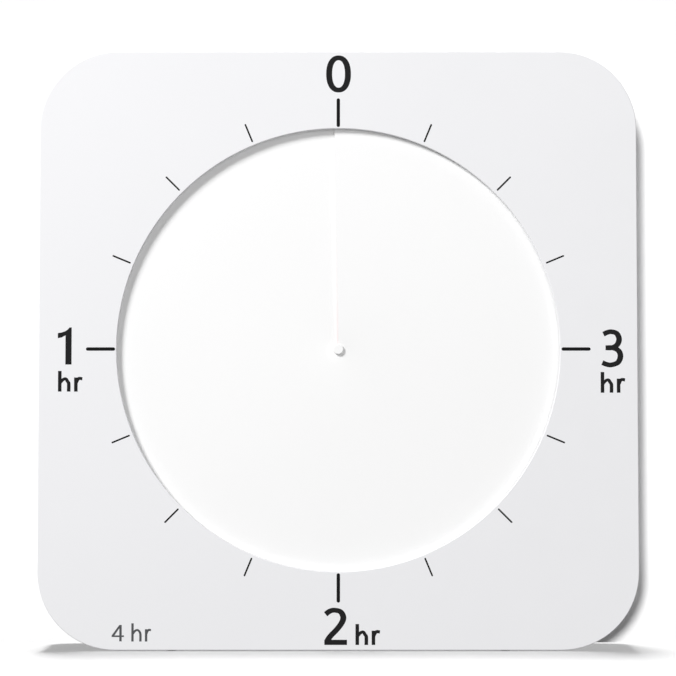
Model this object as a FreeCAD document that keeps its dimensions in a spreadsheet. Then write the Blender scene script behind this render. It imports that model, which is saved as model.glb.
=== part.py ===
import FreeCAD, Part

import math
import os

import Sketcher
from FreeCAD import Vector

# Visual countdown timer, 432 mm square, standing on its pads, in millimetres.
# X runs to the right as seen from the front, the front faces -Y and Z is up.
# Each body is drawn in the dial's own frame: its origin is the dial centre on the
# plate's front face, and Y there is the depth behind that face.


class Size:
    """A length with the formula that gives it, so that sums of sizes stay bound to the sheet."""

    def __init__(self, value, formula):
        self.value = value
        self.formula = formula

    def __add__(self, other):
        other = as_size(other)
        return Size(self.value + other.value, f"({self.formula} + {other.formula})")

    def __sub__(self, other):
        other = as_size(other)
        return Size(self.value - other.value, f"({self.formula} - {other.formula})")

    def __mul__(self, other):
        other = as_size(other)
        return Size(self.value * other.value, f"({self.formula} * {other.formula})")

    def __truediv__(self, other):
        other = as_size(other)
        return Size(self.value / other.value, f"({self.formula} / {other.formula})")

    def __neg__(self):
        return Size(-self.value, f"(0 - {self.formula})")

    __radd__ = __add__
    __rmul__ = __mul__


def as_size(number):
    if isinstance(number, Size):
        return number
    return Size(float(number), f"{float(number):.9f}")


doc = FreeCAD.newDocument("countdown_timer")
sheet = doc.addObject("Spreadsheet::Sheet", "sizes")

DRIVING_SIZES = {
    # dial plate
    "plate_size": 432,
    "plate_corner": 56,
    "plate_thick": 2,
    "plate_bevel": 0.4,
    "dial_opening": 160,
    # housing
    "case_inset": 1.5,
    "case_wall": 2.5,
    "front_depth": 24,
    "rear_depth": 20,
    "back_round": 10,
    "floor_pad_thick": 2.1,
    "wall_pad_thick": 2,
    "floor_pad_radius": 5,
    "wall_pad_radius": 8,
    "wall_pad_inset": 34.5,
    "floor_pad_inset": 94.5,
    "floor_pad_rear_x": 22,
    "seam_bevel": 0.5,
    # play between pieces
    "run_play": 0.3,
    "bearing_play": 0.05,
    # magnets that hold the dial plate
    "magnet_radius": 5,
    "magnet_thick": 1.2,
    "magnet_corner_inset": 42.5,
    "magnet_side_inset": 18.5,
    # face ring, slit face sheet and time disc
    "ring_step": 4,
    "ring_wall": 2.8,
    "ring_depth": 9.8,
    "ring_set_back": 0.2,
    "flange_reach": 7.2,
    "flange_thick": 2,
    "sheet_thick": 0.4,
    "cap_gap": 0.4,
    "screw_pitch": 1.5,
    "sheet_bore": 3.1,
    "disc_edge_gap": 1.5,
    "barrel_radius": 2.4,
    "cap_radius": 3.8,
    "cap_thick": 1,
    "barrel_length": 6.5,
    # drive
    "spindle_radius": 3,
    "spindle_flat": 2.3,
    "tip_radius": 1.6,
    "tip_flat": 1.2,
    "gear_module": 1,
    "gear_thick": 4,
    "gear_front": 10.5,
    "gear_addendum": 0.7,
    "pinion_addendum": 1,
    "tooth_play": 0.2,
    "chassis_front": 16,
    "chassis_thick": 2.5,
    "chassis_width": 118,
    "chassis_height": 94,
    "chassis_corner": 8,
    "post_x": 50,
    "post_z": 35,
    "post_radius": 4,
    "bush_radius": 6,
    "bush_flange": 8,
    "bush_flange_thick": 1.2,
    "motor_radius": 13,
    "motor_depth": 10.5,
    "motor_shaft_radius": 1.5,
    "ear_reach": 18,
    # setting knob
    "knob_radius": 22,
    "knob_thick": 8.7,
    "knob_set_back": 0.5,
    "cup_radius": 28,
    "cup_depth": 10,
    "flute_radius": 2.2,
    # battery bay
    "cell_radius": 7.1,
    "cell_length": 49.2,
    "nub_radius": 2.7,
    "nub_length": 1.3,
    "cell_pitch": 15.5,
    "spring_length": 6.5,
    "contact_thick": 0.5,
    "bay_depth": 18.5,
    "bay_centre": -99,
    "bay_wall": 2,
    "door_ledge": 1.7,
    "door_tab_reach": 1.2,
    "door_tab_thick": 2,
    "door_tab_spread": 18,
    "thumb_groove_width": 20,
    "thumb_groove_pitch": 2.4,
    "thumb_groove_inset": 6,
    # controls at the back
    "panel_z": 95,
    "panel_width": 150,
    "panel_height": 34,
    "panel_depth": 5,
    "control_spacing": 45,
    "selector_radius": 9,
    "selector_stem": 3,
    "slider_travel": 8,
    "button_radius": 6,
    "button_travel": 1.5,
    "board_thick": 1.6,
    "board_gap": 4.9,
    "board_margin": 5,
    "board_screw_inset": 5,
    # speaker
    "speaker_x": 110,
    "speaker_z": -95,
    "speaker_radius": 25,
    "speaker_depth": 14,
    "grille_hole": 1.5,
    "grille_pitch": 6.5,
    # swing-out feet
    "foot_pivot_inset": 54.5,
    "foot_length": 116,
    "foot_width": 14,
    "foot_thick": 9,
    "foot_front": 31,
    "foot_lift": 0.3,
    "foot_pin_radius": 2,
    # keyholes for a wall
    "keyhole_x": 100,
    "keyhole_z": 160,
    "keyhole_radius": 4.5,
    "keyhole_slot": 2.25,
    "keyhole_rise": 9,
    # fasteners
    "screw_radius": 1.5,
    "screw_head": 3,
    "screw_head_thick": 2.2,
    "case_screw_inset": 24.5,
    "case_screw_spread": 94.5,
    "small_screw": 1.2,
    "small_head": 2.3,
    "small_head_thick": 1.4,
    "boss_radius": 5,
}


class Sizes:
    """The driving sizes, each kept in a cell of the sheet under its own name."""

    def __init__(self):
        for row, (name, value) in enumerate(DRIVING_SIZES.items(), 1):
            sheet.set(f"A{row}", name.replace("_", " "))
            sheet.set(f"B{row}", str(value))
            sheet.setAlias(f"B{row}", name)
        doc.recompute()
        for name in DRIVING_SIZES:
            setattr(self, name, Size(float(sheet.get(name)), f"sizes.{name}"))


d = Sizes()

# Depths of the main faces behind the plate's front face, and the housing's outline
case_front = d.plate_thick
split = case_front + d.front_depth
case_back = split + d.rear_depth
total_depth = case_back + d.wall_pad_thick
case_half = d.plate_size / 2 - d.case_inset
case_corner = d.plate_corner - d.case_inset
front_inside = case_front + d.case_wall
back_inside = case_back - d.case_wall
floor_level = -(case_half + d.floor_pad_thick)
ring_inner = d.dial_opening + d.ring_step
ring_outer = ring_inner + d.ring_wall
flange_radius = ring_outer + d.flange_reach
disc_radius = ring_inner - d.disc_edge_gap
ring_front = case_front + d.ring_set_back
ring_back = ring_front + d.ring_depth
cap_back = d.plate_thick + d.run_play + d.cap_thick
sheet_middle = cap_back + d.cap_gap + (d.screw_pitch + d.sheet_thick) / 2
chassis_back = d.chassis_front + d.chassis_thick
cup_floor = case_back - d.cup_depth
panel_floor = case_back - d.panel_depth
panel_inside = panel_floor - d.case_wall
board_back = panel_inside - d.board_gap
board_front = board_back - d.board_thick
knob_back = case_back - d.knob_set_back
knob_front = knob_back - d.knob_thick
bay_floor = case_back - d.bay_depth
cell_depth = bay_floor + d.cell_radius + 0.1
bay_half_x = (d.cell_length + d.nub_length + d.spring_length) / 2 + d.contact_thick
bay_half_z = d.cell_pitch * 2 + 1
foot_pivot = case_half - d.foot_pivot_inset
foot_sole = floor_level + d.foot_lift
foot_top = foot_sole + d.foot_thick
foot_middle = d.foot_front + d.foot_width / 2
screw_seat = split + 8
gear_teeth = 60
pinion_teeth = 12
gear_distance = d.gear_module * (gear_teeth + pinion_teeth) / 2

mirror_pairs = ((1, 1), (-1, 1), (-1, -1), (1, -1))
magnet_corner = case_half - d.magnet_corner_inset
magnet_side = case_half - d.magnet_side_inset
magnet_places = [(magnet_corner * sx, magnet_corner * sz) for sx, sz in mirror_pairs]
magnet_places += [(magnet_side * sx, magnet_side * sz) for sx, sz in ((1, 0), (0, 1), (-1, 0), (0, -1))]
case_screw_far = case_half - d.case_screw_inset
case_screw_near = case_half - d.case_screw_spread
case_screw_places = [(case_screw_far * sx, case_screw_near * sz) for sx, sz in mirror_pairs]
case_screw_places += [(case_screw_near * sx, case_screw_far * sz) for sx, sz in mirror_pairs]
post_places = [(d.post_x * sx, d.post_z * sz) for sx, sz in mirror_pairs]
ring_screw_circle = (ring_outer + flange_radius) / 2 + 0.2
ring_screw_angles = [math.radians(22.5 + 45 * step) for step in range(8)]
ring_screw_places = [(ring_screw_circle * math.cos(angle), ring_screw_circle * math.sin(angle))
                     for angle in ring_screw_angles]
board_half_x = d.panel_width / 2 + d.board_margin
board_half_z = d.panel_height / 2 + d.board_margin
board_screw_places = [
    ((board_half_x - d.board_screw_inset) * sx, d.panel_z + (board_half_z - d.board_screw_inset) * sz)
    for sx, sz in mirror_pairs
]
floor_pad_front = case_front + d.floor_pad_radius + 1
floor_pad_rear = split + d.floor_pad_radius
floor_pad_x = case_half - d.floor_pad_inset
floor_pad_places = [(floor_pad_x, floor_pad_front), (-floor_pad_x, floor_pad_front),
                    (d.floor_pad_rear_x, floor_pad_rear), (-d.floor_pad_rear_x, floor_pad_rear)]
cell_places = [d.bay_centre + d.cell_pitch * step for step in (-1.5, -0.5, 0.5, 1.5)]

nodes = {}


def bind(target, path, size):
    """Give a property its formula."""
    target.setExpression(path, as_size(size).formula)


def place(target, name, x, z):
    """Name a finished node and stand the dial's frame in the timer's frame."""
    target.Label = name
    bind(target, "Placement.Base.x", x)
    bind(target, "Placement.Base.y", -total_depth / 2)
    bind(target, "Placement.Base.z", as_size(z) - floor_level)
    nodes[name] = target


def new_body(name, x=0, z=0):
    body = doc.addObject("PartDesign::Body", name)
    place(body, name, x, z)
    return body


def new_sketch(body, name, plane, offset):
    """An empty sketch on one of the body's own planes, moved along that plane's axis."""
    sketch = body.newObject("Sketcher::SketchObject", name)
    origin = next(item for item in body.Origin.OriginFeatures if item.Role == plane)
    sketch.AttachmentSupport = (origin, [""])
    sketch.MapMode = "FlatFace"
    along = -as_size(offset) if plane == "XZ_Plane" else as_size(offset)
    bind(sketch, "AttachmentOffset.Base.z", along)
    return sketch


def pin_point(sketch, geometry, point, x, z):
    """Hold one point of a sketch at its place from the origin."""
    for kind, size in (("DistanceX", as_size(x)), ("DistanceY", as_size(z))):
        index = sketch.addConstraint(Sketcher.Constraint(kind, geometry, point, size.value))
        bind(sketch, f"Constraints[{index}]", size)


def hold_radius(sketch, geometry, radius):
    radius = as_size(radius)
    index = sketch.addConstraint(Sketcher.Constraint("Radius", geometry, radius.value))
    bind(sketch, f"Constraints[{index}]", radius)


def circle(sketch, x, z, radius):
    x, z, radius = as_size(x), as_size(z), as_size(radius)
    shape = Part.Circle(Vector(x.value, z.value, 0), Vector(0, 0, 1), radius.value)
    geometry = sketch.addGeometry(shape)
    pin_point(sketch, geometry, 3, x, z)
    hold_radius(sketch, geometry, radius)


def circles(sketch, places, radius):
    for x, z in places:
        circle(sketch, x, z, radius)


def polygon(sketch, points):
    """A closed outline with each corner held at its own place."""
    corners = [(as_size(x), as_size(z)) for x, z in points]
    vectors = [Vector(x.value, z.value, 0) for x, z in corners]
    first = sketch.GeometryCount
    for start, end in zip(vectors, vectors[1:] + vectors[:1]):
        sketch.addGeometry(Part.LineSegment(start, end))
    for step, (x, z) in enumerate(corners):
        following = first + (step + 1) % len(corners)
        sketch.addConstraint(Sketcher.Constraint("Coincident", first + step, 2, following, 1))
        pin_point(sketch, first + step, 1, x, z)


def box(sketch, x, z, width, height):
    """A rectangle about its own centre."""
    x, z, half_x, half_z = as_size(x), as_size(z), as_size(width) / 2, as_size(height) / 2
    polygon(sketch, [(x + half_x * sx, z + half_z * sz) for sx, sz in mirror_pairs])


def rounded_box(sketch, x, z, width, height, corner):
    """A rectangle about its own centre with round corners."""
    x, z, corner = as_size(x), as_size(z), as_size(corner)
    reach_x, reach_z = as_size(width) / 2 - corner, as_size(height) / 2 - corner
    centres = [(x + reach_x * sx, z + reach_z * sz) for sx, sz in mirror_pairs]
    arcs = []
    for step, (centre_x, centre_z) in enumerate(centres):
        round_corner = Part.Circle(Vector(centre_x.value, centre_z.value, 0), Vector(0, 0, 1), corner.value)
        arc = Part.ArcOfCircle(round_corner, math.radians(90 * step), math.radians(90 * step + 90))
        arcs.append(sketch.addGeometry(arc))
    for arc, following in zip(arcs, arcs[1:] + arcs[:1]):
        start, end = sketch.getPoint(arc, 2), sketch.getPoint(following, 1)
        line = sketch.addGeometry(Part.LineSegment(start, end))
        sketch.addConstraint(Sketcher.Constraint("Tangent", arc, 2, line, 1))
        sketch.addConstraint(Sketcher.Constraint("Tangent", line, 2, following, 1))
    for arc, (centre_x, centre_z) in zip(arcs, centres):
        pin_point(sketch, arc, 3, centre_x, centre_z)
        hold_radius(sketch, arc, corner)


def keyhole(sketch, x, z, entry, slot, rise):
    """A round entry with a narrow slot above it, as one outline."""
    x, z, entry, slot = as_size(x), as_size(z), as_size(entry), as_size(slot)
    neck = math.asin(slot.value / entry.value)
    shoulder = math.sqrt(entry.value ** 2 - slot.value ** 2)
    top = z + rise
    bowl = Part.Circle(Vector(x.value, z.value, 0), Vector(0, 0, 1), entry.value)
    end = Part.Circle(Vector(x.value, top.value, 0), Vector(0, 0, 1), slot.value)
    low = sketch.addGeometry(Part.ArcOfCircle(bowl, math.pi / 2 + neck, 5 * math.pi / 2 - neck))
    corner = Vector(x.value + slot.value, z.value + shoulder, 0)
    right = sketch.addGeometry(Part.LineSegment(corner, Vector(corner.x, top.value, 0)))
    high = sketch.addGeometry(Part.ArcOfCircle(end, 0, math.pi))
    corner = Vector(x.value - slot.value, z.value + shoulder, 0)
    left = sketch.addGeometry(Part.LineSegment(Vector(corner.x, top.value, 0), corner))
    sketch.addConstraint(Sketcher.Constraint("Coincident", low, 2, right, 1))
    sketch.addConstraint(Sketcher.Constraint("Tangent", right, 2, high, 1))
    sketch.addConstraint(Sketcher.Constraint("Tangent", high, 2, left, 1))
    sketch.addConstraint(Sketcher.Constraint("Coincident", left, 2, low, 1))
    sketch.addConstraint(Sketcher.Constraint("Vertical", right))
    pin_point(sketch, low, 3, x, z)
    pin_point(sketch, high, 3, x, top)
    hold_radius(sketch, low, entry)
    hold_radius(sketch, high, slot)


def pad(body, name, start, end, draw, plane="XZ_Plane"):
    """Add material from one depth to another."""
    sketch = new_sketch(body, f"{name}_outline", plane, start)
    draw(sketch)
    feature = body.newObject("PartDesign::Pad", name)
    feature.Profile = sketch
    bind(feature, "Length", as_size(end) - start)
    feature.Reversed = plane == "XZ_Plane"
    doc.recompute()
    return feature


def pocket(body, name, start, end, draw, plane="XZ_Plane"):
    """Take material away from one depth to another, and make sure that it went."""
    before = body.Shape.Volume
    sketch = new_sketch(body, f"{name}_outline", plane, start)
    draw(sketch)
    feature = body.newObject("PartDesign::Pocket", name)
    feature.Profile = sketch
    bind(feature, "Length", as_size(end) - start)
    feature.Reversed = plane != "XZ_Plane"
    doc.recompute()
    if not body.Shape.Volume < before:
        raise ValueError(f"{body.Label}: {name} cuts nothing")
    return feature


def turned(body, name, points):
    """A solid of revolution about the depth axis, from corners given as radius and depth."""
    sketch = new_sketch(body, f"{name}_outline", "XY_Plane", 0)
    polygon(sketch, points)
    feature = body.newObject("PartDesign::Revolution", name)
    feature.Profile = sketch
    feature.ReferenceAxis = (sketch, ["V_Axis"])
    feature.Angle = 360
    doc.recompute()
    return feature


def round_edges(body, name, radius, wanted, kind="Fillet"):
    """Round or bevel the edges that a test picks."""
    base = body.Tip
    picked = [f"Edge{number}" for number, edge in enumerate(base.Shape.Edges, 1) if wanted(edge)]
    feature = body.newObject(f"PartDesign::{kind}", name)
    feature.Base = (base, picked)
    bind(feature, "Radius" if kind == "Fillet" else "Size", radius)
    doc.recompute()
    return feature


def at_depth(depth, longer=0.0):
    """A test for edges that lie flat at one depth and are longer than a given length."""
    level = as_size(depth).value

    def wanted(edge):
        limits = edge.BoundBox
        flat = abs(limits.YMin - level) < 0.001 and abs(limits.YMax - level) < 0.001
        return flat and edge.Length > longer

    return wanted


def on_case_outline(depth):
    """A test for edges that lie at one depth on the housing's outer outline."""
    flat = at_depth(depth)
    straight = (case_half - case_corner).value

    def wanted(edge):
        if not flat(edge):
            return False
        reaches = [math.hypot(max(abs(end.X) - straight, 0), max(abs(end.Z) - straight, 0))
                   for end in edge.Vertexes]
        return all(abs(reach - case_corner.value) < 0.01 for reach in reaches)

    return wanted


def dial_plate():
    body = new_body("dial_plate")
    pad(body, "plate", 0, d.plate_thick,
        lambda s: rounded_box(s, 0, 0, d.plate_size, d.plate_size, d.plate_corner))
    pocket(body, "opening", 0, d.plate_thick, lambda s: circle(s, 0, 0, d.dial_opening))
    round_edges(body, "front_bevel", d.plate_bevel, at_depth(0), "Chamfer")
    seat_radius = d.magnet_radius + d.bearing_play
    pocket(body, "magnet_seats", d.plate_thick - d.magnet_thick, d.plate_thick,
           lambda s: circles(s, magnet_places, seat_radius))


def dial_magnets():
    body = new_body("dial_magnets")
    pad(body, "magnets", d.plate_thick - d.magnet_thick, d.plate_thick,
        lambda s: circles(s, magnet_places, d.magnet_radius))


def strike_discs():
    body = new_body("strike_discs")
    pad(body, "discs", case_front, case_front + d.magnet_thick,
        lambda s: circles(s, magnet_places, d.magnet_radius))


def front_shell():
    body = new_body("front_shell")
    inner_half = case_half - d.case_wall
    inner_corner = case_corner - d.case_wall
    pad(body, "block", case_front, split,
        lambda s: rounded_box(s, 0, 0, case_half * 2, case_half * 2, case_corner))
    round_edges(body, "seam_bevel", d.seam_bevel, on_case_outline(split), "Chamfer")
    pocket(body, "hollow", front_inside, split,
           lambda s: rounded_box(s, 0, 0, inner_half * 2, inner_half * 2, inner_corner))
    pocket(body, "face_hole", case_front, front_inside,
           lambda s: circle(s, 0, 0, ring_outer + d.run_play))
    pad(body, "screw_bosses", front_inside, split, lambda s: circles(s, case_screw_places, d.boss_radius))
    pad(body, "ring_posts", front_inside, ring_back - d.flange_thick,
        lambda s: circles(s, ring_screw_places, d.small_head + 0.3))

    def stiffener(sketch):
        circle(sketch, 0, 0, flange_radius + 2 * d.case_wall)
        circle(sketch, 0, 0, flange_radius + d.case_wall)

    pad(body, "stiffening_ring", front_inside, ring_back, stiffener)

    def ribs(sketch):
        inner_end = flange_radius + 1.5 * d.case_wall
        outer_end = inner_half + d.case_wall / 2
        for sign in (1, -1):
            middle = (inner_end + outer_end) / 2 * sign
            box(sketch, middle, 0, outer_end - inner_end, d.case_wall * 0.6)
            box(sketch, 0, middle, d.case_wall * 0.6, outer_end - inner_end)

    pad(body, "ribs", front_inside, ring_back, ribs)
    pocket(body, "strike_seats", case_front, case_front + d.magnet_thick,
           lambda s: circles(s, magnet_places, d.magnet_radius + d.bearing_play))
    pocket(body, "case_screw_holes", split - 12, split,
           lambda s: circles(s, case_screw_places, d.screw_radius + d.bearing_play))
    pocket(body, "ring_screw_holes", ring_back - d.flange_thick - 4, ring_back - d.flange_thick,
           lambda s: circles(s, ring_screw_places, d.small_screw + d.bearing_play))


def foot_notch_places():
    """Centre and length of the notch for a foot on the right-hand side, along X."""
    outer = foot_pivot + d.foot_width / 2 + d.run_play * 2
    inner = foot_pivot - d.foot_length - d.run_play * 3
    return (outer + inner) / 2, outer - inner


def rear_shell():
    body = new_body("rear_shell")
    pad(body, "block", split, case_back,
        lambda s: rounded_box(s, 0, 0, case_half * 2, case_half * 2, case_corner))
    round_edges(body, "back_edge", d.back_round, at_depth(case_back))
    block = body.Tip
    open_face = next(number for number, face in enumerate(block.Shape.Faces, 1)
                     if abs(face.BoundBox.YMin - split.value) < 0.001 and face.BoundBox.YLength < 0.001)
    hollow = body.newObject("PartDesign::Thickness", "hollow")
    hollow.Base = (block, [f"Face{open_face}"])
    hollow.Reversed = True
    hollow.Join = 1
    bind(hollow, "Value", d.case_wall)
    doc.recompute()
    round_edges(body, "seam_bevel", d.seam_bevel, on_case_outline(split), "Chamfer")

    bay_outer_x = (bay_half_x + d.bay_wall) * 2
    bay_outer_z = (bay_half_z + d.bay_wall) * 2
    pad(body, "battery_bay", bay_floor - d.bay_wall, back_inside,
        lambda s: box(s, 0, d.bay_centre, bay_outer_x, bay_outer_z))
    pad(body, "knob_cup", cup_floor - d.case_wall, back_inside,
        lambda s: circle(s, 0, 0, d.cup_radius + d.case_wall))
    pad(body, "control_panel", panel_inside, back_inside,
        lambda s: rounded_box(s, 0, d.panel_z, d.panel_width + 2 * d.case_wall,
                              d.panel_height + 2 * d.case_wall, 6))
    pad(body, "screw_bosses", split, back_inside, lambda s: circles(s, case_screw_places, d.boss_radius))
    pad(body, "chassis_posts", chassis_back, back_inside, lambda s: circles(s, post_places, d.post_radius))
    pad(body, "board_posts", board_back, back_inside,
        lambda s: circles(s, board_screw_places, d.small_head + 0.7))

    def speaker_seat(sketch):
        circle(sketch, d.speaker_x, d.speaker_z, d.speaker_radius + d.run_play + d.case_wall * 0.8)
        circle(sketch, d.speaker_x, d.speaker_z, d.speaker_radius + d.run_play)

    pad(body, "speaker_seat", back_inside - 5, back_inside, speaker_seat)

    notch_x, notch_length = foot_notch_places()
    notch_top = foot_top + d.run_play
    roof = notch_top + d.case_wall
    notch_front = d.foot_front - d.run_play

    def notch_walls(sketch, low):
        for sign in (1, -1):
            box(sketch, notch_x * sign, (roof + low) / 2, notch_length + 2 * d.case_wall, roof - low)

    low_wall = -(case_half - d.case_wall * 0.9)
    pad(body, "notch_sides", notch_front - d.case_wall, case_back - d.back_round / 2,
        lambda s: notch_walls(s, low_wall))
    pad(body, "notch_roofs", notch_front - d.case_wall, back_inside,
        lambda s: notch_walls(s, notch_top - 2))
    pin_places = [(foot_pivot, foot_middle), (-foot_pivot, foot_middle)]
    pad(body, "pin_bosses", roof - 1, roof + 4, lambda s: circles(s, pin_places, d.boss_radius), "XY_Plane")

    pocket(body, "foot_notches", notch_front, case_back + 1,
           lambda s: [box(s, notch_x * sign, (notch_top + floor_level) / 2, notch_length,
                          notch_top - floor_level) for sign in (1, -1)])
    pocket(body, "pin_holes", notch_top - 1, roof + 3,
           lambda s: circles(s, pin_places, d.foot_pin_radius + d.bearing_play), "XY_Plane")
    pocket(body, "bay_hollow", bay_floor, case_back,
           lambda s: box(s, 0, d.bay_centre, bay_half_x * 2, bay_half_z * 2))
    pocket(body, "door_seat", back_inside, case_back,
           lambda s: rounded_box(s, 0, d.bay_centre, (bay_half_x + d.door_ledge) * 2,
                                 (bay_half_z + d.door_ledge) * 2, 3))
    pocket(body, "cup_hollow", cup_floor, case_back, lambda s: circle(s, 0, 0, d.cup_radius))
    pocket(body, "bush_hole", cup_floor - d.case_wall, cup_floor,
           lambda s: circle(s, 0, 0, d.bush_radius + d.bearing_play))
    pocket(body, "panel_recess", panel_floor, case_back,
           lambda s: rounded_box(s, 0, d.panel_z, d.panel_width, d.panel_height, 4))

    def control_holes(sketch):
        circle(sketch, -d.control_spacing, d.panel_z, d.selector_stem + d.run_play)
        box(sketch, 0, d.panel_z, d.slider_travel + 3 + 2 * d.run_play, 2 + 2 * d.run_play)
        circle(sketch, d.control_spacing, d.panel_z, d.button_radius + d.run_play)

    pocket(body, "control_holes", panel_inside, panel_floor, control_holes)

    def grille(sketch):
        circle(sketch, d.speaker_x, d.speaker_z, d.grille_hole)
        for ring in (1, 2, 3):
            for step in range(6 * ring):
                angle = 2 * math.pi * step / (6 * ring)
                circle(sketch, d.speaker_x + d.grille_pitch * ring * math.cos(angle),
                       d.speaker_z + d.grille_pitch * ring * math.sin(angle), d.grille_hole)

    pocket(body, "grille", back_inside, case_back, grille)

    def keyholes(sketch):
        for sign in (1, -1):
            keyhole(sketch, d.keyhole_x * sign, d.keyhole_z,
                    d.keyhole_radius, d.keyhole_slot, d.keyhole_rise)

    pocket(body, "keyholes", back_inside, case_back, keyholes)
    pocket(body, "screw_wells", screw_seat, case_back,
           lambda s: circles(s, case_screw_places, d.screw_head + d.run_play))
    pocket(body, "screw_holes", split, screw_seat,
           lambda s: circles(s, case_screw_places, d.screw_radius + d.run_play))
    pocket(body, "post_holes", chassis_back, chassis_back + 10,
           lambda s: circles(s, post_places, d.screw_radius + d.bearing_play))
    pocket(body, "board_holes", board_back, board_back + 4,
           lambda s: circles(s, board_screw_places, d.small_screw + d.bearing_play))


def face_ring():
    """The white moulded ring that lines the opening and carries the slit sheet."""
    body = new_body("face_ring")
    turned(body, "ring", [
        (ring_inner, ring_front),
        (ring_outer, ring_front),
        (ring_outer, ring_back - d.flange_thick),
        (flange_radius, ring_back - d.flange_thick),
        (flange_radius, ring_back),
        (ring_inner, ring_back),
    ])
    pocket(body, "screw_holes", ring_back - d.flange_thick, ring_back,
           lambda s: circles(s, ring_screw_places, d.small_screw + d.run_play))


def screws(name, places, seat, head_radius, head_end, shank_radius, shank_end):
    """A set of screws: heads from the seat to one depth and shanks to the other."""
    body = new_body(name)
    for part_name, end, radius in (("heads", head_end, head_radius), ("shanks", shank_end, shank_radius)):
        low, high = (seat, end) if as_size(end).value > as_size(seat).value else (end, seat)
        pad(body, part_name, low, high, lambda s, radius=radius: circles(s, places, radius))


def screw_sheet(name, inner, outer, middle, overlap):
    """A sheet cut along 12 o'clock and sprung into one turn of a screw.

    Its depth falls by one pitch over a turn that runs counter-clockwise as seen from the
    front, so the lip on the right of the cut lies nearer the viewer.
    """
    steps = 72
    first = -overlap / 2
    turn = 360 + overlap
    half = d.sheet_thick.value / 2

    def rail(radius, shift):
        points = []
        for step in range(steps + 1):
            degrees = first + turn * step / steps
            angle = math.radians(degrees)
            depth = middle.value + d.screw_pitch.value * (0.5 - degrees / 360) + shift
            points.append(Vector(-radius * math.sin(angle), depth, radius * math.cos(angle)))
        return points

    rails = [rail(inner.value, -half), rail(outer.value, -half),
             rail(outer.value, half), rail(inner.value, half)]
    wires = [Part.makePolygon(points) for points in rails]
    faces = []
    for near, far in zip(wires, wires[1:] + wires[:1]):
        faces += Part.makeRuledSurface(near, far).Faces
    for end in (0, -1):
        corners = [points[end] for points in rails]
        faces.append(Part.Face(Part.makePolygon(corners + corners[:1])))
    shell = Part.makeShell(faces)
    shell.sewShape()
    solid = Part.makeSolid(shell)
    if solid.Volume < 0:
        solid.reverse()
    feature = doc.addObject("Part::Feature", name)
    feature.Shape = solid
    place(feature, name, 0, 0)


def disc_hub():
    body = new_body("disc_hub")
    front = cap_back
    pad(body, "barrel", front, front + d.barrel_length, lambda s: circle(s, 0, 0, d.barrel_radius))
    pocket(body, "bore", front, front + d.barrel_length,
           lambda s: flatted(s, d.tip_radius, d.tip_flat, d.bearing_play))


def flatted(sketch, radius, flat, play):
    """A round with one flat, opened by the given play."""
    radius, flat = radius + play, flat + play
    half = math.acos(flat.value / radius.value)
    whole = Part.Circle(Vector(0, 0, 0), Vector(0, 0, 1), radius.value)
    arc = sketch.addGeometry(Part.ArcOfCircle(whole, math.pi / 2 + half, 5 * math.pi / 2 - half))
    start, end = sketch.getPoint(arc, 2), sketch.getPoint(arc, 1)
    line = sketch.addGeometry(Part.LineSegment(start, end))
    sketch.addConstraint(Sketcher.Constraint("Coincident", arc, 2, line, 1))
    sketch.addConstraint(Sketcher.Constraint("Coincident", line, 2, arc, 1))
    sketch.addConstraint(Sketcher.Constraint("Horizontal", line))
    pin_point(sketch, arc, 3, 0, 0)
    hold_radius(sketch, arc, radius)
    index = sketch.addConstraint(Sketcher.Constraint("DistanceY", line, 1, flat.value))
    bind(sketch, f"Constraints[{index}]", flat)


def hub_cap():
    body = new_body("hub_cap")
    front = cap_back - d.cap_thick
    pad(body, "cap", front, cap_back, lambda s: circle(s, 0, 0, d.cap_radius))
    round_edges(body, "dome", d.cap_thick * 0.7, at_depth(front))


def spindle():
    body = new_body("spindle")
    front = cap_back + d.run_play
    hub_reach = d.gear_front - d.run_play
    pad(body, "hub_end", front, hub_reach, lambda s: flatted(s, d.tip_radius, d.tip_flat, 0))
    pad(body, "journal", hub_reach, knob_front, lambda s: circle(s, 0, 0, d.spindle_radius))
    pad(body, "knob_end", knob_front, knob_back - 3,
        lambda s: flatted(s, d.spindle_radius, d.spindle_flat, 0))


def involute(angle):
    return math.tan(angle) - angle


def gear_solid(teeth, addendum, turn, play):
    """A spur gear with involute flanks; the turn is that of its first tooth, in radians."""
    module = d.gear_module.value
    pressure = math.radians(20)
    pitch = module * teeth / 2
    base = pitch * math.cos(pressure)
    tip = pitch + addendum * module
    root = pitch - 1.25 * module
    low = max(base, root)

    def half_tooth(radius):
        leaning = math.acos(min(1.0, base / radius))
        return math.pi / (2 * teeth) - play / (2 * pitch) + involute(pressure) - involute(leaning)

    def at(radius, angle):
        return Vector(radius * math.cos(angle), 0, radius * math.sin(angle))

    edges = []
    middle = (low + tip) / 2
    for tooth in range(teeth):
        centre = turn + 2 * math.pi * tooth / teeth
        following = centre + 2 * math.pi / teeth
        foot, knee, crest = half_tooth(low), half_tooth(middle), half_tooth(tip)
        if low > root:
            edges.append(Part.makeLine(at(root, centre - foot), at(low, centre - foot)))
        rising = Part.Arc(at(low, centre - foot), at(middle, centre - knee), at(tip, centre - crest))
        falling = Part.Arc(at(tip, centre + crest), at(middle, centre + knee), at(low, centre + foot))
        edges.append(rising.toShape())
        edges.append(Part.makeLine(at(tip, centre - crest), at(tip, centre + crest)))
        edges.append(falling.toShape())
        if low > root:
            edges.append(Part.makeLine(at(low, centre + foot), at(root, centre + foot)))
        edges.append(Part.makeLine(at(root, centre + foot), at(root, following - foot)))
    outline = Part.Wire(edges)
    return Part.Face(outline).extrude(Vector(0, d.gear_thick.value, 0))


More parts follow.
